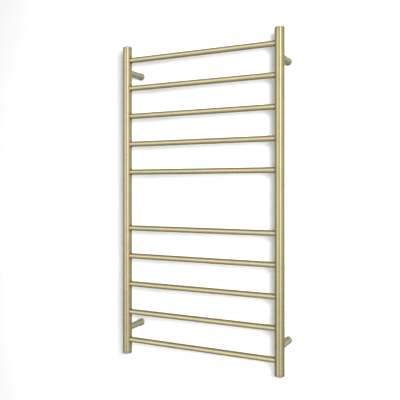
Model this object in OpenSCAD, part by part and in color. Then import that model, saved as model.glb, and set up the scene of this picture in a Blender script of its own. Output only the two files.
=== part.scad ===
// Wall-hung electric towel ladder: two round posts, ten round bars and four standoffs.
// The wall is the plane Y = 0 and the ladder stands in front of it, towards -Y.
// X runs along the bars and +Z is up. The origin is the centre of the four wall screws.

/* [Ladder] */
// Overall height, over the end caps
ladder_h = 1100; // [1096:1:1200]
// Distance between the axes of the two posts
post_spacing = 568; // [420:1:760]
// Distance between neighbouring bars
bar_pitch = 100; // [96:0.1:101]
// Distance from the wall to the axes of the posts
wall_gap = 98; // [90:0.5:120]
// Height of the standoffs above and below the middle
standoff_z = 460; // [446:0.5:466]

/* [Tubes] */
// Outside diameter of the posts
post_d = 32; // [31:0.5:36]
// Wall thickness of the posts
post_wall = 1.5; // [1.2:0.1:1.8]
// Outside diameter of the bars
bar_d = 19; // [18:0.5:22]
// Wall thickness of the bars
bar_wall = 1.2; // [1:0.1:1.5]
// How far inside the posts the bars and arms end, measured from the post axis
seat_depth = 9; // [8:0.5:9.4]
// Height of the head of an end cap
cap_h = 7; // [5:0.5:7.5]
// Radius of the rounded edge of an end cap
cap_edge_r = 2.5; // [1:0.5:4]
// Depth of the plug of an end cap inside the post
cap_plug = 8; // [5:0.5:8.5]

/* [Standoffs] */
// Outside diameter of the standoff arms
arm_d = 22; // [21.5:0.1:22]
// Wall thickness of the standoff arms
arm_wall = 1.5; // [1.3:0.1:1.6]
// Outside diameter of the collars at the wall
collar_d = 25; // [24.6:0.1:27]
// Length of the collars
collar_len = 14; // [12:0.5:20]
// Gap between the wall and the collars
wall_clear = 0.5; // [0.3:0.1:1]
// Length of the bosses that the arms slide over
boss_len = 18; // [15:0.5:24]
// Wall thickness of the bosses
boss_wall = 1.45; // [1.2:0.05:1.5]
// Thickness of the base of the bosses
boss_base = 3; // [2:0.5:4]
// Radial clearance between a boss and its arm
boss_clear = 0.05; // [0.03:0.01:0.08]
// Distance from the boss axis to its wall screw
screw_offset = 3.6; // [3.2:0.1:3.8]
// Diameter of the wall screw holes
screw_hole_d = 4.5; // [4:0.1:5]

/* [Grub screws] */
// Distance from the wall to the grub screws
grub_y = 9; // [6:0.5:9]
// Diameter of the grub screws
grub_d = 5; // [4:0.5:5]
// Length of the grub screws
grub_len = 4.4; // [4:0.1:5]
// Hexagon socket, across flats
grub_socket = 2.5; // [2:0.1:2.6]

/* [Heating cable] */
// Diameter of the heating cable
cable_d = 5; // [4:0.5:6]
// Bend radius of the heating cable where it turns into a bar
cable_bend = 14; // [12:0.5:14]
// Length of the thermal cut-out
cutout_len = 30; // [20:1:60]
// Length of the joint between the heating cable and the supply lead
splice_len = 30; // [24:1:32]
// Diameter of the hole in the inlet grommet
inlet_d = 4.4; // [3:0.1:4.6]

/* [Hidden] */
$fn = 64;
SIDES = ["left", "right"];
LEVELS = ["lower", "upper"];
corners = [for (level = [0, 1], side = [0, 1]) [side, level]];
bars_per_side = 5;       // bars above the middle gap, and again below it
bar_count = 2 * bars_per_side;

post_r = post_d / 2;
post_in_r = post_r - post_wall;
post_y = -wall_gap;
post_h = ladder_h - 2 * cap_h;
bar_r = bar_d / 2;
bar_len = post_spacing - 2 * seat_depth;
arm_r = arm_d / 2;
arm_in_r = arm_r - arm_wall;
arm_len = wall_gap - seat_depth - wall_clear;
collar_r = collar_d / 2;
boss_r = arm_in_r - boss_clear;
boss_in_r = boss_r - boss_wall;
cut = 1;                 // how far a cutting tool passes through a face

grub_clear = 0.08;       // radial clearance of a grub screw in its hole
grub_tip_gap = 0.2;      // gap between a grub screw and the boss
grub_socket_depth = 1.5;

cable_r = cable_d / 2;
cutout_r = 6;
seal_r = 3.8;
seal_len = 14;
seal_cable_in = 9;       // length of cable inside the end seal
splice_r = 6.5;
splice_gap = 32;         // distance from the post axis to the near end of the splice
splice_cable_in = 10;    // length of cable inside the splice
lead_r = 2;              // conductor hole at the wall end of the splice

cable_way_r = 2.9;       // hole in the lower right boss for the grommet
cable_way_offset = 4.1;
grommet_flange_r = 3.6;
grommet_flange_h = 1.2;

earth_x = 4.2;           // from the post axis to the middle of the earth lug
tab_t = 1.5;
tab_h = 12;
earth_z = -ladder_h / 2 + cap_h + cap_plug + 1 + tab_h / 2;
lug_t = 0.8;
lug_r = 4.2;
tab_top = earth_z + tab_h / 2;
wire_r = 1.1;
wire_bend = 8;
wire_end_in = 5;         // length of wire inside the barrel of the lug
barrel_r = 1.9;
barrel_len = 8;
barrel_z = tab_top + 0.5;
earth_screw_r = 2;
earth_screw_len = 6;
earth_head_r = 3.5;
earth_head_h = 2.5;

gold = "#CDC08B";
khaki = "#B4AF8F";
zinc = "#B9BCC0";
black_steel = "#33322F";
silicone_red = "#B4523C";
rubber_black = "#2B2B2B";
glass_sleeve = "#D8D3C4";
copper_tin = "#C9B79A";
earth_green = "#7FA63A";

function post_name(side) = str("post_", SIDES[side]);
function bar_name(i) = str("bar_", i < 10 ? "0" : "", i);
function corner_name(what, c) = str(what, "_", LEVELS[c[1]], "_", SIDES[c[0]]);
function side_sign(side) = side == 0 ? -1 : 1;
function side_x(side) = side_sign(side) * post_spacing / 2;
function corner_z(c) = side_sign(c[1]) * standoff_z;
// Bar 1 is the top one. Nothing stands at Z = 0, which leaves the wide gap in the middle.
function bar_z(i) = bar_pitch * (i <= bars_per_side ? bars_per_side + 1 - i : bars_per_side - i);

module tube(r_out, r_in, h) {
    difference() {
        cylinder(r = r_out, h = h);
        translate([0, 0, -cut]) cylinder(r = r_in, h = h + 2 * cut);
    }
}

// A rod from one point to another along one of the axes.
module rod(from, to, r) {
    run = to - from;
    turn = run[0] != 0 ? [0, sign(run[0]) * 90, 0]
        : run[1] != 0 ? [-sign(run[1]) * 90, 0, 0]
        : [run[2] > 0 ? 0 : 180, 0, 0];
    translate(from) rotate(turn) cylinder(r = r, h = norm(run));
}

// A quarter ring round the corner at the origin, from the rod along -X to the one along +Z.
module quarter_bend(bend_r, r) {
    translate([-bend_r, 0, bend_r]) rotate([90, 0, 0]) rotate([0, 0, -90])
        rotate_extrude(angle = 90) translate([bend_r, 0]) circle(r = r);
}

// A post: its tube, the seats of the bars on its inner side and of the arms at its back.
module post(side) {
    color(gold) translate([side_x(side), post_y, 0]) difference() {
        translate([0, 0, -post_h / 2]) tube(post_r, post_in_r, post_h);
        for (i = [1 : bar_count])
            translate([0, 0, bar_z(i)]) rotate([0, -side_sign(side) * 90, 0])
                cylinder(r = bar_r, h = post_r + cut);
        for (z = [-standoff_z, standoff_z])
            translate([0, 0, z]) rotate([-90, 0, 0]) cylinder(r = arm_r, h = post_r + cut);
    }
}

module bar(i) {
    color(gold) translate([-bar_len / 2, post_y, bar_z(i)]) rotate([0, 90, 0])
        tube(bar_r, bar_r - bar_wall, bar_len);
}

// A turned cap: a plug inside the post under a head with a rounded edge.
module end_cap(c) {
    up = side_sign(c[1]);
    color(gold) translate([side_x(c[0]), post_y, up * post_h / 2])
        mirror([0, 0, up > 0 ? 0 : 1]) union() {
            rotate_extrude() union() {
                square([post_r, cap_h - cap_edge_r]);
                square([post_r - cap_edge_r, cap_h]);
                translate([post_r - cap_edge_r, cap_h - cap_edge_r])
                    intersection() {
                        circle(r = cap_edge_r);
                        square(cap_edge_r);
                    }
            }
            translate([0, 0, -cap_plug]) cylinder(r = post_in_r, h = cap_plug);
        }
}

// The hole for a grub screw, down through an arm and its collar.
module grub_hole() {
    translate([0, -grub_y, -collar_r - cut])
        cylinder(r = grub_d / 2, h = collar_r - arm_in_r / 2 + cut);
}

module standoff_arm(c) {
    color(khaki) translate([side_x(c[0]), 0, corner_z(c)]) difference() {
        translate([0, -wall_clear, 0]) rotate([90, 0, 0]) tube(arm_r, arm_in_r, arm_len);
        grub_hole();
    }
}

module standoff_collar(c) {
    color(khaki) translate([side_x(c[0]), 0, corner_z(c)]) difference() {
        translate([0, -wall_clear, 0]) rotate([90, 0, 0]) tube(collar_r, arm_r, collar_len);
        grub_hole();
    }
}

// A turned cup that is screwed to the wall. The lower right one also lets the supply in.
module wall_boss(c) {
    out = side_sign(c[0]);
    color(zinc) translate([side_x(c[0]), 0, corner_z(c)]) rotate([90, 0, 0]) difference() {
        cylinder(r = boss_r, h = boss_len);
        translate([0, 0, boss_base]) cylinder(r = boss_in_r, h = boss_len);
        translate([-out * screw_offset, 0, -cut])
            cylinder(d = screw_hole_d, h = boss_base + 2 * cut);
        if (c == [1, 0])
            translate([out * cable_way_offset, 0, -cut])
                cylinder(r = cable_way_r, h = boss_base + 2 * cut);
    }
}

module grub_screw(c) {
    tip = corner_z(c) - boss_r - grub_tip_gap;
    color(black_steel) translate([side_x(c[0]), -grub_y, tip]) rotate([180, 0, 0])
        difference() {
            cylinder(r = grub_d / 2 - grub_clear, h = grub_len);
            translate([0, 0, grub_len - grub_socket_depth])
                cylinder(r = grub_socket / sqrt(3), h = grub_socket_depth + cut, $fn = 6);
        }
}

module inlet_grommet() {
    color(rubber_black)
        translate([side_x(1) + cable_way_offset, 0, -standoff_z]) rotate([90, 0, 0])
            difference() {
                union() {
                    cylinder(r = cable_way_r, h = boss_base + grommet_flange_h);
                    translate([0, 0, boss_base])
                        cylinder(r = grommet_flange_r, h = grommet_flange_h);
                }
                translate([0, 0, -cut])
                    cylinder(d = inlet_d, h = boss_base + grommet_flange_h + 2 * cut);
            }
}

// The cable inside bar i, with its bends in the two posts. Its way up the ladder leaves odd bars
// on the right and even bars on the left. Both ends of the lowest bar's cable turn up, because
// the supply comes in above that bar.
module cable_in_bar(i) {
    half = post_spacing / 2;
    run = half - cable_bend;
    up_side = i % 2 == 0 ? -1 : 1;
    translate([0, post_y, bar_z(i)]) {
        rod([-run, 0, 0], [run, 0, 0], cable_r);
        for (side = [-1, 1])
            translate([side * half, 0, 0]) mirror([side < 0 ? 1 : 0, 0, 0])
                mirror([0, 0, side == up_side || i == bar_count ? 0 : 1])
                    quarter_bend(cable_bend, cable_r);
    }
}

// A straight run of cable inside a post.
module cable_in_post(side, z_low, z_high) {
    rod([side_x(side), post_y, z_low], [side_x(side), post_y, z_high], cable_r);
}

// A wire or cable at x that comes along an arm from the splice and turns down into the post.
module lead_in(x, bend_r, r, y_start, z_end) {
    rod([x, y_start, -standoff_z], [x, post_y + bend_r, -standoff_z], r);
    translate([x, post_y, -standoff_z]) rotate([0, 0, -90]) mirror([0, 0, 1])
        quarter_bend(bend_r, r);
    rod([x, post_y, -standoff_z - bend_r], [x, post_y, z_end], r);
}

// One cable that comes in by the lower right arm and runs up through every bar in turn.
module heating_cable() {
    top_z = bar_z(1) + cable_bend;
    color(silicone_red) union() {
        for (i = [1 : bar_count]) cable_in_bar(i);
        for (i = [1 : bar_count - 1])
            cable_in_post(i % 2 == 0 ? 1 : 0, bar_z(i + 1) + cable_bend, bar_z(i) - cable_bend);
        cable_in_post(1, top_z, top_z + seal_cable_in);
        lead_in(side_x(1), cable_bend, cable_r, post_y + splice_gap + splice_cable_in,
            bar_z(bar_count) + cable_bend);
    }
}

// A cut-out clipped round the cable in the wide gap of the left post.
module thermal_cutout() {
    color(glass_sleeve) translate([side_x(0), post_y, -cutout_len / 2])
        tube(cutout_r, cable_r, cutout_len);
}

module cable_end_seal() {
    color(rubber_black) translate([side_x(1), post_y, bar_z(1) + cable_bend]) difference() {
        cylinder(r = seal_r, h = seal_len);
        translate([0, 0, -cut]) cylinder(r = cable_r, h = seal_cable_in + cut);
    }
}

// The joint of the cable and the supply lead, in the lower right arm.
module cable_splice() {
    color(rubber_black)
        translate([side_x(1), post_y + splice_gap, -standoff_z]) rotate([-90, 0, 0])
            difference() {
                cylinder(r = splice_r, h = splice_len);
                translate([0, 0, -cut]) cylinder(r = cable_r, h = splice_cable_in + cut);
                translate([0, 0, splice_len - splice_cable_in])
                    cylinder(r = lead_r, h = splice_cable_in + cut);
            }
}

// A plate welded across the foot of the right post.
module earth_tab() {
    color(zinc) translate([side_x(1), post_y, 0]) difference() {
        intersection() {
            translate([0, 0, earth_z - tab_h / 2]) cylinder(r = post_in_r, h = tab_h);
            translate([earth_x - lug_t / 2 - tab_t, -post_r, earth_z - tab_h / 2])
                cube([tab_t, post_d, tab_h]);
        }
        translate([0, 0, earth_z]) rotate([0, 90, 0])
            cylinder(r = earth_screw_r, h = post_r);
    }
}

module earth_lug() {
    color(copper_tin) translate([side_x(1) + earth_x, post_y, 0]) difference() {
        union() {
            translate([-lug_t / 2, 0, earth_z]) rotate([0, 90, 0])
                cylinder(r = lug_r, h = lug_t);
            translate([-lug_t / 2, -barrel_r, earth_z])
                cube([lug_t, 2 * barrel_r, barrel_z - earth_z + lug_t]);
            translate([0, 0, barrel_z]) cylinder(r = barrel_r, h = barrel_len);
        }
        translate([-lug_t, 0, earth_z]) rotate([0, 90, 0])
            cylinder(r = earth_screw_r, h = 2 * lug_t);
        translate([0, 0, barrel_z + barrel_len - wire_end_in])
            cylinder(r = wire_r, h = wire_end_in + cut);
    }
}

module earth_screw() {
    face = side_x(1) + earth_x + lug_t / 2;
    color(zinc) translate([face, post_y, earth_z]) rotate([0, 90, 0]) union() {
        cylinder(r = earth_head_r, h = earth_head_h);
        translate([0, 0, -earth_screw_len]) cylinder(r = earth_screw_r, h = earth_screw_len);
    }
}

// The earth wire, from the splice down beside the heating cable to the lug.
module earth_wire() {
    color(earth_green) union()
        lead_in(side_x(1) + earth_x, wire_bend, wire_r, post_y + splice_gap,
            barrel_z + barrel_len - wire_end_in);
}

for (side = [0, 1])
    post(side);
for (i = [1 : bar_count])
    bar(i);
for (c = corners) {
    end_cap(c);
    standoff_arm(c);
    standoff_collar(c);
    wall_boss(c);
    grub_screw(c);
}
inlet_grommet();
heating_cable();
thermal_cutout();
cable_end_seal();
cable_splice();
earth_tab();
earth_lug();
earth_screw();
earth_wire();
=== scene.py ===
"""The looks of a brushed gold towel ladder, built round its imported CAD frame."""

import math

import bpy
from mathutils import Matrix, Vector


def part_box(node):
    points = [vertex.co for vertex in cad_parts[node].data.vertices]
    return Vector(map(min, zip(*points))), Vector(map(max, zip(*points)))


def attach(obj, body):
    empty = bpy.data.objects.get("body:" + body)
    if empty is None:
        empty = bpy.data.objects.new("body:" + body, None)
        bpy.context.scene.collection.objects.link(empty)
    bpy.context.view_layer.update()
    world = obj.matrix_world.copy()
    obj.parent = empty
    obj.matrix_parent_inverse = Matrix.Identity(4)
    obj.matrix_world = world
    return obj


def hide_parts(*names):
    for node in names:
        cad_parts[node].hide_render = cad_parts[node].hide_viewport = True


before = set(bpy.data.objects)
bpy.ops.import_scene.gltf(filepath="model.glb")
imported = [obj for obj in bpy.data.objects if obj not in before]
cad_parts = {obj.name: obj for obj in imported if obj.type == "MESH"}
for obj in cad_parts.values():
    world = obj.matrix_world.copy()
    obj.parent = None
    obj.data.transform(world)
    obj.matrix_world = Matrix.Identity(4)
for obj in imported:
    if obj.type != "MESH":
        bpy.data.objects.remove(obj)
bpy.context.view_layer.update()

MM = 0.001
SIDES = ("left", "right")
LEVELS = ("lower", "upper")
CORNERS = [(level, side) for level in LEVELS for side in SIDES]
BARS = sorted(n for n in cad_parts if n.startswith("bar_"))
LADDER = "ladder"

# Tessellation
RING = 96              # vertices round a tube
PATCH_ROWS = 10        # rows across a seat
PATCH_RINGS = 3        # rings between a seat and the edge of its patch
SMOOTH_ANGLE = math.radians(32)
ON_WALL = 1e-6         # metres

# Small shapes that the CAD model leaves plain
EDGE = 0.35 * MM       # chamfer at the mouth of a tube
WELD = 1.2 * MM        # radius of the weld fillets
WELD_STEPS = 6
SEAT_MARGIN = 3.5 * MM # from a seat to the edge of its patch
CAP_ROUND = 2.5 * MM   # radius of a cap's rounded edge
CAP_ROUND_STEPS = 8
PLUG_BEVEL = 0.6 * MM  # bevel at the inner end of a cap's plug
ARM_EDGE = 0.2 * MM
COLLAR_EDGE = 0.6 * MM
GRUB_PATCH = {"half_h": 4.2 * MM, "columns": 8, "rows": 8, "rings": 3}
# How far a weld's hidden edges reach into the rod and the post
WELD_IN_ROD = 0.2 * MM
WELD_IN_POST = 0.4 * MM
WELD_BEHIND = 0.5 * MM
# How far the painted shade round a joint reaches
NOOK_SHADE_REACH = 13.0 * MM
SATIN_NOOK_SHADE_REACH = 4.0 * MM

# Noise levels that a noise texture mostly stays between
NOISE_LOW, NOISE_HIGH = 0.3, 0.7
HAIR_DEPTH = 0.02 * MM
GRAIN_DEPTH = 0.03 * MM


# ---------------------------------------------------------------- frame

def centre(node):
    low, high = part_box(node)
    return (low + high) / 2


def half_size(node):
    low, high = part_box(node)
    return (high - low) / 2


POST_R = half_size("post_left").x
POST_HALF = half_size("post_left").z
POST_Y = centre("post_left").y
BAR_R = half_size("bar_01").z
ARM_R = half_size("standoff_arm_lower_left").x
COLLAR_R = half_size("standoff_collar_lower_left").x
GRUB_Y = centre("grub_screw_lower_left").y
POST_X = {side: centre("post_" + side).x for side in SIDES}

# Wall thicknesses and the grub hole, which a box can't show
POST_WALL = 1.5 * MM
BAR_WALL = 1.2 * MM
ARM_WALL = 1.5 * MM
GRUB_HOLE_R = 2.5 * MM


# ---------------------------------------------------------------- mesh tools

def make_object(name, verts, faces):
    mesh = bpy.data.meshes.new(name)
    mesh.from_pydata([tuple(v) for v in verts], [], faces)
    mesh.validate()
    mesh.polygons.foreach_set("use_smooth", [True] * len(mesh.polygons))
    mesh.set_sharp_from_angle(angle=SMOOTH_ANGLE)
    mesh.update()
    made = bpy.data.objects.new(name, mesh)
    bpy.context.scene.collection.objects.link(made)
    return made


def axes_of(direction):
    """Two unit vectors at right angles to direction and to each other."""
    d = Vector(direction).normalized()
    u = Vector((0, 0, 1)) if abs(d.z) < 0.5 else Vector((1, 0, 0))
    u = (u - d * u.dot(d)).normalized()
    return u, d.cross(u)


def turned(name, profile, origin, direction, count=RING, close=True):
    """A body of revolution. profile is (radius, height) pairs, in order round its section."""
    u, v = axes_of(direction)
    d = Vector(direction).normalized()
    verts, starts = [], []
    for radius, height in profile:
        starts.append(len(verts))
        if radius == 0:
            verts.append(Vector(origin) + d * height)
            continue
        for i in range(count):
            a = math.tau * i / count
            spoke = u * math.cos(a) + v * math.sin(a)
            verts.append(Vector(origin) + d * height + spoke * radius)
    faces = []
    loop = list(range(len(profile)))
    pairs = list(zip(loop, loop[1:])) + ([(loop[-1], 0)] if close else [])
    for p, q in pairs:
        a, b = starts[p], starts[q]
        point_a, point_b = profile[p][0] == 0, profile[q][0] == 0
        if point_a and point_b:
            continue
        for i in range(count):
            j = (i + 1) % count
            if point_a:
                faces.append((a, b + j, b + i))
            elif point_b:
                faces.append((a + i, a + j, b))
            else:
                faces.append((a + i, a + j, b + j, b + i))
    return make_object(name, verts, faces)


def arc(cx, cy, radius, start, end, steps):
    """Points on an arc, in degrees, both ends included."""
    return [
        (cx + radius * math.cos(math.radians(start + (end - start) * k / steps)),
         cy + radius * math.sin(math.radians(start + (end - start) * k / steps)))
        for k in range(steps + 1)
    ]


class DrilledTube:
    """A tube along an axis with round holes through one wall, as one closed mesh.

    Both walls are grids. Where a hole goes through, a patch of the grid gives way to rings
    that turn from the patch's edge into the hole's, and the hole's wall joins the two."""

    def __init__(self, origin, direction, u, r_out, r_in, holes):
        self.origin, self.d, self.u = Vector(origin), Vector(direction), Vector(u)
        self.v = self.d.cross(self.u)
        self.r_out, self.r_in, self.holes = r_out, r_in, holes
        self.verts, self.faces = [], []

    def put(self, radius, angle, height):
        spoke = self.u * math.cos(angle) + self.v * math.sin(angle)
        self.verts.append(self.origin + self.d * height + spoke * radius)
        return len(self.verts) - 1

    def levels(self, low, high):
        """Grid heights, with rows across each hole's patch."""
        heights = {low, high}
        for h in self.holes:
            for k in range(h["rows"] + 1):
                heights.add(h["z"] + h["half_h"] * (2 * k / h["rows"] - 1))
        return sorted(heights)

    def wall(self, radius, low, high, outward):
        """One wall. Returns its lowest ring, its highest ring and the ring of each hole."""
        heights = self.levels(low, high)
        grid = [[self.put(radius, math.tau * i / RING, z) for i in range(RING)]
                for z in heights]
        taken, rims = set(), []
        for h in self.holes:
            middle = round(h["angle"] / math.tau * RING)
            row0 = min(range(len(heights)),
                       key=lambda k: abs(heights[k] - (h["z"] - h["half_h"])))
            columns, rows = h["columns"], h["rows"]
            for r in range(rows):
                for c in range(-columns, columns):
                    taken.add((row0 + r, (middle + c) % RING))
            edge = [(row0, c) for c in range(-columns, columns)]
            edge += [(row0 + r, columns) for r in range(rows)]
            edge += [(row0 + rows, c) for c in range(columns, -columns, -1)]
            edge += [(row0 + r, -columns) for r in range(rows, 0, -1)]
            outer, start = [], []
            for r, c in edge:
                swing = c * math.tau / RING
                outer.append(grid[r][(middle + c) % RING])
                start.append((swing, heights[r] - h["z"]))
            rim_points = []
            for swing, rise in start:
                turn = math.atan2(rise, self.r_out * math.sin(swing))
                rim_points.append((math.asin(h["r"] * math.cos(turn) / radius),
                                   h["r"] * math.sin(turn)))
            rings = [outer]
            for k in range(1, h["rings"] + 1):
                t = k / h["rings"]
                rings.append([
                    self.put(radius, h["angle"] + a[0] * (1 - t) + b[0] * t,
                             h["z"] + a[1] * (1 - t) + b[1] * t)
                    for a, b in zip(start, rim_points)])
            for a, b in zip(rings, rings[1:]):
                self.strip(a, b, outward)
            rims.append(rings[-1])
        for r in range(len(heights) - 1):
            for c in range(RING):
                if (r, c) not in taken:
                    n = (c + 1) % RING
                    quad = (grid[r][c], grid[r][n], grid[r + 1][n], grid[r + 1][c])
                    self.faces.append(quad if outward else quad[::-1])
        return grid[0], grid[-1], rims

    def strip(self, a, b, outward):
        """Quads between two closed rings of the same length."""
        for i in range(len(a)):
            j = (i + 1) % len(a)
            quad = (a[i], a[j], b[j], b[i])
            self.faces.append(quad if outward else quad[::-1])

    def ring(self, radius, height):
        return [self.put(radius, math.tau * i / RING, height) for i in range(RING)]

    def build(self, name, low, high, edge):
        out_low, out_high, out_rims = self.wall(self.r_out, low + edge, high - edge, True)
        in_low, in_high, in_rims = self.wall(self.r_in, low, high, False)
        lip_low, lip_high = self.ring(self.r_out - edge, low), self.ring(self.r_out - edge, high)
        self.strip(lip_low, out_low, True)
        self.strip(in_low, lip_low, True)
        self.strip(out_high, lip_high, True)
        self.strip(lip_high, in_high, True)
        for outer, inner in zip(out_rims, in_rims):
            self.strip(outer, inner, True)
        made = make_object(name, self.verts, self.faces)
        self.true_normals(made.data)
        return made

    def true_normals(self, mesh):
        """Gives both walls the normals of a true cylinder, so that the patches don't show."""
        spokes = []
        for vertex in mesh.vertices:
            reach = vertex.co - self.origin
            spokes.append(reach - self.d * reach.dot(self.d))
        normals = [Vector((0, 0, 0))] * len(mesh.loops)
        for face in mesh.polygons:
            radii = [spokes[k].length for k in face.vertices]
            for radius, sign in ((self.r_out, 1), (self.r_in, -1)):
                if max(abs(r - radius) for r in radii) < ON_WALL:
                    for loop in face.loop_indices:
                        spoke = spokes[mesh.loops[loop].vertex_index]
                        normals[loop] = spoke.normalized() * sign
        mesh.normals_split_custom_set(normals)


def seat(angle, height, radius, wall_r):
    """A bar's or arm's seat in a post: a hole with its patch of the grid."""
    columns = math.ceil(math.asin(min(1, (radius + SEAT_MARGIN) / wall_r)) / math.tau * RING)
    return {"angle": angle, "z": height, "r": radius, "half_h": radius + SEAT_MARGIN,
            "columns": columns, "rows": PATCH_ROWS, "rings": PATCH_RINGS}


# ---------------------------------------------------------------- materials

def node_of(tree, kind, **values):
    made = tree.nodes.new(kind)
    for key, value in values.items():
        setattr(made, key, value)
    return made


def new_material(name):
    material = bpy.data.materials.new(name)
    material.use_nodes = True
    tree = material.node_tree
    tree.nodes.clear()
    output = node_of(tree, "ShaderNodeOutputMaterial")
    shader = node_of(tree, "ShaderNodeBsdfPrincipled")
    tree.links.new(shader.outputs["BSDF"], output.inputs["Surface"])
    return material, tree, shader


def scaled_noise(tree, scale, noise_scale, detail, roughness=0.5):
    """Noise in object coordinates, stretched by scale along X, Y and Z."""
    coords = node_of(tree, "ShaderNodeTexCoord")
    mapping = node_of(tree, "ShaderNodeMapping")
    mapping.inputs["Scale"].default_value = scale
    noise = node_of(tree, "ShaderNodeTexNoise")
    noise.inputs["Scale"].default_value = noise_scale
    noise.inputs["Detail"].default_value = detail
    noise.inputs["Roughness"].default_value = roughness
    tree.links.new(coords.outputs["Object"], mapping.inputs["Vector"])
    tree.links.new(mapping.outputs["Vector"], noise.inputs["Vector"])
    return noise.outputs["Fac"]


def value_between(tree, fac, low, high):
    """Noise between its usual levels, turned into low to high."""
    spread = node_of(tree, "ShaderNodeMapRange")
    spread.inputs["From Min"].default_value = NOISE_LOW
    spread.inputs["From Max"].default_value = NOISE_HIGH
    spread.inputs["To Min"].default_value = low
    spread.inputs["To Max"].default_value = high
    tree.links.new(fac, spread.inputs["Value"])
    return spread.outputs["Result"]


def colour_between(tree, fac, low, high):
    ramp = node_of(tree, "ShaderNodeValToRGB")
    ramp.color_ramp.elements[0].position = NOISE_LOW
    ramp.color_ramp.elements[1].position = NOISE_HIGH
    ramp.color_ramp.elements[0].color = (*low, 1)
    ramp.color_ramp.elements[1].color = (*high, 1)
    tree.links.new(fac, ramp.inputs["Fac"])
    return ramp.outputs["Color"]


def painted_nook_shade(tree, colour, reach):
    """A colour darkened by ambient occlusion where two tubes meet: painted shade in the nooks.
    """
    nook = node_of(tree, "ShaderNodeAmbientOcclusion", samples=8)
    nook.inputs["Distance"].default_value = reach
    shade = node_of(tree, "ShaderNodeMapRange")
    shade.inputs["From Min"].default_value = 0.42
    shade.inputs["From Max"].default_value = 0.95
    shade.inputs["To Min"].default_value = 0.12
    shade.inputs["To Max"].default_value = 1.0
    tree.links.new(nook.outputs["AO"], shade.inputs["Value"])
    darker = node_of(tree, "ShaderNodeVectorMath", operation="SCALE")
    tree.links.new(colour, darker.inputs[0])
    tree.links.new(shade.outputs["Result"], darker.inputs["Scale"])
    return darker.outputs["Vector"]


def brushed_metal(name, axis, low, high, rough, anisotropy, nook=NOOK_SHADE_REACH):
    """Plated metal with fine hair lines round a tube that lies along axis, 0 to 2 for X to Z."""
    material, tree, shader = new_material(name)
    hair = [40.0, 40.0, 40.0]
    hair[axis] = 5200.0
    lines = scaled_noise(tree, hair, 1.0, 3.0, 0.6)
    broad = [9.0, 9.0, 9.0]
    broad[axis] = 26.0
    clouds = scaled_noise(tree, broad, 1.0, 2.0)
    mixed = node_of(tree, "ShaderNodeMix", data_type="FLOAT")
    mixed.inputs["Factor"].default_value = 0.4
    tree.links.new(clouds, mixed.inputs["A"])
    tree.links.new(lines, mixed.inputs["B"])
    # The base colour carries painted shade in the nooks round each joint.
    tree.links.new(painted_nook_shade(tree, colour_between(tree, mixed.outputs["Result"], low, high),
                            nook),
                   shader.inputs["Base Color"])
    tree.links.new(value_between(tree, lines, rough * 0.85, rough * 1.15),
                   shader.inputs["Roughness"])
    shader.inputs["Metallic"].default_value = 1.0
    shader.inputs["Anisotropic"].default_value = anisotropy
    shader.inputs["Anisotropic Rotation"].default_value = 0.25
    tangent = node_of(tree, "ShaderNodeTangent", direction_type="RADIAL", axis="XYZ"[axis])
    tree.links.new(tangent.outputs["Tangent"], shader.inputs["Tangent"])
    relief = node_of(tree, "ShaderNodeBump")
    relief.inputs["Strength"].default_value = 0.35
    relief.inputs["Distance"].default_value = HAIR_DEPTH
    tree.links.new(lines, relief.inputs["Height"])
    tree.links.new(relief.outputs["Normal"], shader.inputs["Normal"])
    return material


def plain_metal(name, low, high, rough):
    """Turned or plated hardware with a light mottle."""
    material, tree, shader = new_material(name)
    fac = scaled_noise(tree, (1, 1, 1), 900.0, 3.0)
    tree.links.new(colour_between(tree, fac, low, high), shader.inputs["Base Color"])
    tree.links.new(value_between(tree, fac, rough * 0.8, rough * 1.25),
                   shader.inputs["Roughness"])
    shader.inputs["Metallic"].default_value = 1.0
    return material


def moulded(name, low, high, rough):
    """Rubber, silicone or plastic with a fine moulded grain."""
    material, tree, shader = new_material(name)
    fac = scaled_noise(tree, (1, 1, 1), 1400.0, 4.0)
    tree.links.new(colour_between(tree, fac, low, high), shader.inputs["Base Color"])
    tree.links.new(value_between(tree, fac, rough * 0.85, rough * 1.15),
                   shader.inputs["Roughness"])
    relief = node_of(tree, "ShaderNodeBump")
    relief.inputs["Strength"].default_value = 0.3
    relief.inputs["Distance"].default_value = GRAIN_DEPTH
    tree.links.new(fac, relief.inputs["Height"])
    tree.links.new(relief.outputs["Normal"], shader.inputs["Normal"])
    return material


GOLD_LOW, GOLD_HIGH = (0.70, 0.61, 0.34), (0.80, 0.71, 0.41)
# The bars' gold is the posts' finish painted lighter: painted light, for the brighter light the
# bars catch.
BAR_LIT_LOW, BAR_LIT_HIGH = (0.78, 0.69, 0.385), (0.88, 0.785, 0.455)
SATIN_LOW, SATIN_HIGH = (0.84, 0.835, 0.52), (0.95, 0.945, 0.61)
# The weld fillets are darker than the plating: a dull weld, and painted shade in the corner
# where each bar or arm meets its post.
WELD_SHADED_LOW, WELD_SHADED_HIGH = (0.20, 0.18, 0.10), (0.28, 0.25, 0.14)
GOLD = {axis: brushed_metal("brushed_gold_" + "xyz"[axis], axis, low, high, 0.29, 0.75)
        for axis, low, high in ((0, BAR_LIT_LOW, BAR_LIT_HIGH), (2, GOLD_LOW, GOLD_HIGH))}
SATIN = brushed_metal("satin_gold", 1, SATIN_LOW, SATIN_HIGH, 0.45, 0.45, SATIN_NOOK_SHADE_REACH)
WELDED = plain_metal("weld_gold", WELD_SHADED_LOW, WELD_SHADED_HIGH, 0.5)
CAP_TOP = brushed_metal("cap_gold", 2, GOLD_LOW, GOLD_HIGH, 0.33, 0.3)
ZINC = plain_metal("zinc", (0.46, 0.47, 0.48), (0.60, 0.61, 0.62), 0.38)
BLACK = plain_metal("black_steel", (0.035, 0.035, 0.034), (0.07, 0.068, 0.064), 0.42)
COPPER = plain_metal("tinned_copper", (0.60, 0.52, 0.42), (0.72, 0.64, 0.52), 0.35)
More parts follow.
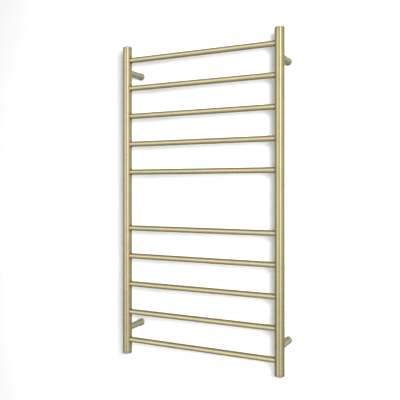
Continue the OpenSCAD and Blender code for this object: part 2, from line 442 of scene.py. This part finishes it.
RUBBER = moulded("rubber", (0.018, 0.018, 0.018), (0.035, 0.035, 0.034), 0.7)
SILICONE = moulded("silicone", (0.40, 0.075, 0.045), (0.50, 0.11, 0.065), 0.5)
SLEEVE = moulded("white_sleeve", (0.62, 0.59, 0.50), (0.74, 0.71, 0.62), 0.8)
GREEN = moulded("green_wire", (0.16, 0.30, 0.04), (0.24, 0.40, 0.06), 0.45)

CAD_FINISH = {
    "wall_boss": ZINC, "grub_screw": BLACK, "inlet_grommet": RUBBER,
    "heating_cable": SILICONE, "thermal_cutout": SLEEVE, "cable_end_seal": RUBBER,
    "cable_splice": RUBBER, "earth_tab": ZINC, "earth_lug": COPPER, "earth_screw": ZINC,
    "earth_wire": GREEN,
}


# ---------------------------------------------------------------- pieces

def finish_piece(piece, material, slot, *nodes):
    piece.data.materials.append(material)
    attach(piece, LADDER)
    if nodes:
        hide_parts(*nodes)


def make_post(side):
    """The tube of a post, with the seats of its bars and arms."""
    inward = 1 if side == "left" else -1
    u = Vector((inward, 0, 0))
    back = math.pi / 2 if inward > 0 else -math.pi / 2
    holes = [seat(0.0, centre(bar).z, BAR_R, POST_R) for bar in BARS]
    for level in LEVELS:
        z = centre(f"standoff_arm_{level}_{side}").z
        holes.append(seat(back, z, ARM_R, POST_R))
    tube = DrilledTube((POST_X[side], POST_Y, 0), (0, 0, 1), u, POST_R, POST_R - POST_WALL,
                       holes)
    post = tube.build("post_tube_" + side, -POST_HALF, POST_HALF, EDGE)
    finish_piece(post, GOLD[2], "brushed_gold", "post_" + side)


def make_bar(node):
    middle, half = centre(node), half_size(node)
    r_in = BAR_R - BAR_WALL
    profile = [(BAR_R, -half.x), (BAR_R, half.x), (r_in, half.x), (r_in, -half.x)]
    bar = turned("rail_" + node, profile, middle, (1, 0, 0))
    finish_piece(bar, GOLD[0], "brushed_gold", node)


def make_cap(corner):
    """An end cap: a head with a rounded edge and a faint seam, and a plug inside the post."""
    level, side = corner
    node = f"end_cap_{level}_{side}"
    low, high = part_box(node)
    up = 1 if level == "upper" else -1
    head = (high.z if up > 0 else -low.z) - POST_HALF
    plug = (high.z - low.z) - head
    plug_r = POST_R - POST_WALL
    flat_r = POST_R - CAP_ROUND
    profile = [(0, -plug), (plug_r - PLUG_BEVEL, -plug), (plug_r, -plug + PLUG_BEVEL),
               (plug_r, 0), (POST_R - EDGE, 0), (POST_R, EDGE)]
    profile += arc(flat_r, head - CAP_ROUND, CAP_ROUND, 0, 90, CAP_ROUND_STEPS)
    profile += [(0.5 * flat_r, head), (0, head)]
    origin = (POST_X[side], POST_Y, up * POST_HALF)
    cap = turned("cap_" + level + "_" + side, profile, origin, (0, 0, up), close=False)
    finish_piece(cap, CAP_TOP, "brushed_gold", node)


def weld_ring(axis_point, along, across, rod_r, post_r, radius):
    """Vertices and faces of a fillet where a rod meets a post at right angles.

    along points out of the post down the rod, and the post's axis is Z. A ball of the given
    radius rolls in the corner between the two, so each section is the arc it leaves."""
    verts, rings = [], []
    up = Vector((0, 0, 1))
    for i in range(RING):
        a = math.tau * i / RING
        ball_y = (rod_r + radius) * math.cos(a)
        ball_z = (rod_r + radius) * math.sin(a)
        ball_x = math.sqrt((post_r + radius) ** 2 - ball_y ** 2)
        from_rod = Vector((0, -math.cos(a), -math.sin(a)))
        from_post = Vector((-ball_x, -ball_y, 0)) / (post_r + radius)
        angle = from_rod.angle(from_post)
        section = []
        for k in range(WELD_STEPS + 1):
            t = k / WELD_STEPS
            way = (from_rod * math.sin((1 - t) * angle)
                   + from_post * math.sin(t * angle)) / math.sin(angle)
            section.append(Vector((ball_x, ball_y, ball_z)) + way * radius)
        surface_x = math.sqrt(post_r ** 2 - (rod_r * math.cos(a)) ** 2)
        inner_r = rod_r - WELD_IN_ROD
        inner = Vector((surface_x - WELD_BEHIND, inner_r * math.cos(a), inner_r * math.sin(a)))
        rod_side = section[0] + from_rod * WELD_IN_ROD
        post_side = section[-1] + from_post * WELD_IN_POST
        section = [rod_side] + section + [post_side, inner]
        rings.append(section)
    steps = len(rings[0])
    for section in rings:
        for p in section:
            verts.append(axis_point + along * p.x + across * p.y + up * p.z)
    faces = []
    for i in range(RING):
        j = (i + 1) % RING
        for k in range(steps):
            n = (k + 1) % steps
            faces.append((i * steps + k, j * steps + k, j * steps + n, i * steps + n))
    return verts, faces


def make_welds(side):
    """All the weld fillets on one post."""
    inward = 1 if side == "left" else -1
    joints = [(centre(bar).z, Vector((inward, 0, 0)), BAR_R) for bar in BARS]
    joints += [(centre(f"standoff_arm_{level}_{side}").z, Vector((0, 1, 0)), ARM_R)
               for level in LEVELS]
    verts, faces = [], []
    for z, along, rod_r in joints:
        across = Vector((0, 0, 1)).cross(along)
        some_verts, some_faces = weld_ring(Vector((POST_X[side], POST_Y, z)), along, across,
                                           rod_r, POST_R, WELD)
        start = len(verts)
        verts += some_verts
        faces += [tuple(start + k for k in f) for f in some_faces]
    welds = make_object("welds_" + side, verts, faces)
    finish_piece(welds, WELDED, "brushed_gold")


def make_sleeve(corner, kind, r_out, r_in, edge, name):
    """A standoff's arm or collar, with the hole for its grub screw in the underside."""
    level, side = corner
    node = f"standoff_{kind}_{level}_{side}"
    low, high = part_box(node)
    hole = {"angle": 0.0, "z": GRUB_Y - high.y, "r": GRUB_HOLE_R, **GRUB_PATCH}
    tube = DrilledTube((POST_X[side], high.y, centre(node).z), (0, 1, 0), (0, 0, -1),
                       r_out, r_in, [hole])
    piece = tube.build(f"{name}_{level}_{side}", low.y - high.y, 0.0, edge)
    finish_piece(piece, SATIN, "satin_gold", node)


for side in SIDES:
    make_post(side)
    make_welds(side)
for bar in BARS:
    make_bar(bar)
for corner in CORNERS:
    make_cap(corner)
    make_sleeve(corner, "arm", ARM_R, ARM_R - ARM_WALL, ARM_EDGE, "arm_tube")
    make_sleeve(corner, "collar", COLLAR_R, ARM_R, COLLAR_EDGE, "collar_ring")
for node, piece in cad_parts.items():
    for start, material in CAD_FINISH.items():
        if node.startswith(start):
            piece.data.materials.clear()
            piece.data.materials.append(material)


# ---------------------------------------------------------------- studio

def stage_plane(name, corners, material):
    mesh = bpy.data.meshes.new(name)
    mesh.from_pydata(corners, [], [tuple(range(len(corners)))])
    mesh.update()
    plane = bpy.data.objects.new(name, mesh)
    bpy.context.scene.collection.objects.link(plane)
    mesh.materials.append(material)
    return plane


def paint(name, low, high, see_through_back):
    """Matt paint with a faint mottle. The back of a wall is left open to view."""
    material, tree, shader = new_material(name)
    fac = scaled_noise(tree, (1, 1, 1), 6.0, 2.0)
    tree.links.new(colour_between(tree, fac, low, high), shader.inputs["Base Color"])
    shader.inputs["Roughness"].default_value = 0.9
    shader.inputs["Specular IOR Level"].default_value = 0.0
    if see_through_back:
        output = tree.nodes["Material Output"]
        clear = node_of(tree, "ShaderNodeBsdfTransparent")
        either = node_of(tree, "ShaderNodeMixShader")
        faces = node_of(tree, "ShaderNodeNewGeometry")
        tree.links.new(faces.outputs["Backfacing"], either.inputs["Fac"])
        tree.links.new(shader.outputs["BSDF"], either.inputs[1])
        tree.links.new(clear.outputs["BSDF"], either.inputs[2])
        tree.links.new(either.outputs["Shader"], output.inputs["Surface"])
    return material


WALL_REACH = 4.0
WALL_Y = 0.0005        # just behind the standoffs' ends
FLOOR_Z = -1.15
WALL_TOP = 3.0
wall = stage_plane(
    "backdrop_wall",
    [(-WALL_REACH, WALL_Y, FLOOR_Z), (WALL_REACH, WALL_Y, FLOOR_Z),
     (WALL_REACH, WALL_Y, WALL_TOP), (-WALL_REACH, WALL_Y, WALL_TOP)],
    paint("wall_paint", (0.72, 0.72, 0.72), (0.74, 0.74, 0.74), True))
wall.visible_glossy = False
floor = stage_plane(
    "floor_plane",
    [(-WALL_REACH, -WALL_REACH, FLOOR_Z), (WALL_REACH, -WALL_REACH, FLOOR_Z),
     (WALL_REACH, WALL_REACH, FLOOR_Z), (-WALL_REACH, WALL_REACH, FLOOR_Z)],
    paint("floor_paint", (0.84, 0.84, 0.83), (0.87, 0.87, 0.86), False))
floor.visible_glossy = False


def area_light(name, place, target, size, power):
    """A soft light that casts shadows and that the metal doesn't mirror."""
    data = bpy.data.lights.new(name, "AREA")
    data.shape = "RECTANGLE"
    data.size, data.size_y = size
    data.energy = power
    light = bpy.data.objects.new(name, data)
    bpy.context.scene.collection.objects.link(light)
    light.location = place
    light.rotation_euler = (Vector(target) - Vector(place)).to_track_quat("-Z", "Y").to_euler()
    light.visible_camera = False
    light.visible_glossy = False


# The wash lights the wall and casts the ladder's soft shadows.
area_light("wash", (1.15, -1.75, 0.24), (0.1, 0, 0), (0.5, 0.5), 74.0)


def maths(tree, operation, a, b=None):
    made = node_of(tree, "ShaderNodeMath", operation=operation)
    for socket, value in zip(made.inputs, (a, b)):
        if value is None:
            continue
        if isinstance(value, (int, float)):
            socket.default_value = value
        else:
            tree.links.new(value, socket)
    return made.outputs["Value"]


# What the metal mirrors. How bright the studio is by bearing, in degrees from straight in
# front towards the right: dim to the sides and behind, with a soft panel on the front left
BEARINGS = [(-180, 0.42), (-130, 0.38), (-98, 0.30), (-72, 0.28), (-46, 0.62), (-24, 1.15),
            (-8, 0.70), (8, 0.46), (24, 0.60), (60, 0.66), (90, 0.50), (115, 0.38), (180, 0.42)]
# and by height, in degrees above the horizon
HEIGHTS = [(-90, 0.75), (-50, 0.50), (-18, 0.76), (4, 1.30), (24, 1.00), (55, 0.50), (90, 0.55)]
# A tall window on the right, by bearing and by height
WINDOW_ACROSS = [(-180, 0.0), (25, 0.0), (33, 1.0), (43, 1.0), (51, 0.0), (180, 0.0)]
WINDOW_UP = [(-90, 0.0), (-20, 0.0), (2, 1.0), (40, 1.0), (60, 0.2), (90, 0.0)]
WINDOW_LEVEL = 1.6
# How bright the backdrop is where the camera looks past the wall
BACKDROP = (0.93, 0.93, 0.93, 1)
RAMP_TOP = 2.0         # the level at which a ramp, whose colours end at 1, is full


def ramp_of(tree, stops, span, value):
    """A piecewise curve through (degrees, level) stops over a span of degrees."""
    ramp = node_of(tree, "ShaderNodeValToRGB")
    ramp.color_ramp.interpolation = "EASE"
    elements = ramp.color_ramp.elements
    for stop, level in stops:
        position = stop / span + 0.5
        # A new ramp already has an element at each end.
        ends = {0.0: 0, 1.0: len(elements) - 1}
        element = elements[ends[position]] if position in ends else elements.new(position)
        share = level / RAMP_TOP
        element.color = (share, share, share, 1)
    fraction = maths(tree, "ADD", maths(tree, "DIVIDE", value, float(span)), 0.5)
    tree.links.new(fraction, ramp.inputs["Fac"])
    return maths(tree, "MULTIPLY", ramp.outputs["Color"], RAMP_TOP)


def make_world():
    world = bpy.data.worlds.new("studio")
    bpy.context.scene.world = world
    world.use_nodes = True
    tree = world.node_tree
    tree.nodes.clear()
    output = node_of(tree, "ShaderNodeOutputWorld")
    coords = node_of(tree, "ShaderNodeTexCoord")
    parts = node_of(tree, "ShaderNodeSeparateXYZ")
    tree.links.new(coords.outputs["Generated"], parts.inputs["Vector"])
    front = maths(tree, "MULTIPLY", parts.outputs["Y"], -1.0)
    bearing = maths(tree, "DEGREES", maths(tree, "ARCTAN2", parts.outputs["X"], front))
    height = maths(tree, "DEGREES", maths(tree, "ARCSINE", parts.outputs["Z"]))
    room = maths(tree, "MULTIPLY", ramp_of(tree, BEARINGS, 360, bearing),
                 ramp_of(tree, HEIGHTS, 180, height))
    window = maths(tree, "MULTIPLY", ramp_of(tree, WINDOW_ACROSS, 360, bearing),
                   ramp_of(tree, WINDOW_UP, 180, height))
    total = maths(tree, "ADD", room, maths(tree, "MULTIPLY", window, WINDOW_LEVEL))
    studio = node_of(tree, "ShaderNodeBackground")
    tree.links.new(total, studio.inputs["Color"])
    seen = node_of(tree, "ShaderNodeBackground")
    seen.inputs["Color"].default_value = BACKDROP
    path = node_of(tree, "ShaderNodeLightPath")
    either = node_of(tree, "ShaderNodeMixShader")
    tree.links.new(path.outputs["Is Camera Ray"], either.inputs["Fac"])
    tree.links.new(studio.outputs["Background"], either.inputs[1])
    tree.links.new(seen.outputs["Background"], either.inputs[2])
    tree.links.new(either.outputs["Shader"], output.inputs["Surface"])


make_world()

# ---------------------------------------------------------------- camera

PITCH = centre("bar_01").z - centre("bar_02").z
# Where the camera stands, in bar pitches: right of centre, in front of the posts, and up
CAMERA_PLACE = (8.0, 16.48, 0.425)
CAMERA_YAW = math.radians(25.73)
CAMERA_LENS = 48.85
CAMERA_SHIFT = -0.0296
camera_data = bpy.data.cameras.new("camera")
camera_data.lens = CAMERA_LENS
camera_data.shift_y = CAMERA_SHIFT
camera = bpy.data.objects.new("camera", camera_data)
bpy.context.scene.collection.objects.link(camera)
right, front, up = (pitches * PITCH for pitches in CAMERA_PLACE)
camera.location = (right, POST_Y - front, up)
camera.rotation_euler = (math.pi / 2, 0, CAMERA_YAW)
bpy.context.scene.camera = camera
bpy.context.scene.view_settings.view_transform = "Standard"
